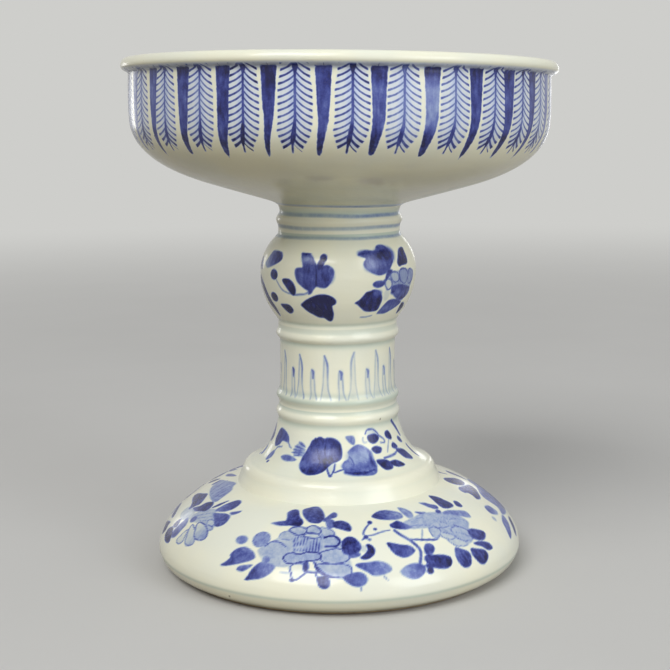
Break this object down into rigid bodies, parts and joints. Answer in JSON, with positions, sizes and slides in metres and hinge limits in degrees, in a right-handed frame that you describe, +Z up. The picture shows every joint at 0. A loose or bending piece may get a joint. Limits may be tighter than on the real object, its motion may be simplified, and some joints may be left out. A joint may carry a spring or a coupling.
{
  "type": "tazza",
  "caption": "Blue-and-white porcelain stem dish: a shallow upright-walled dish on a hollow pedestal with a knop, a drum and a spreading domed foot",
  "frame": {"origin": "centre of the foot ring's underside, on the surface that the dish stands on", "axes": "+Z up along the stem's axis; +X and +Y lie across, and the turned form is the same all round"},
  "size_m": [0.1352, 0.1352, 0.16],
  "materials": {
    "glaze": "glossy, faintly bluish white glaze over porcelain, painted in underglaze cobalt blue; unglazed at the foot ring",
    "slip": "matt fired porcelain slip inside the hollow stem"
  },
  "bodies": {
    "root": {"foot": "glaze", "foot_lute": "slip", "skirt": "glaze", "skirt_lute": "slip", "drum": "glaze", "drum_lute": "slip", "knop": "glaze", "knop_lute": "slip", "collar": "glaze", "collar_lute": "slip", "dish": "glaze"}
  },
  "joints": []
}
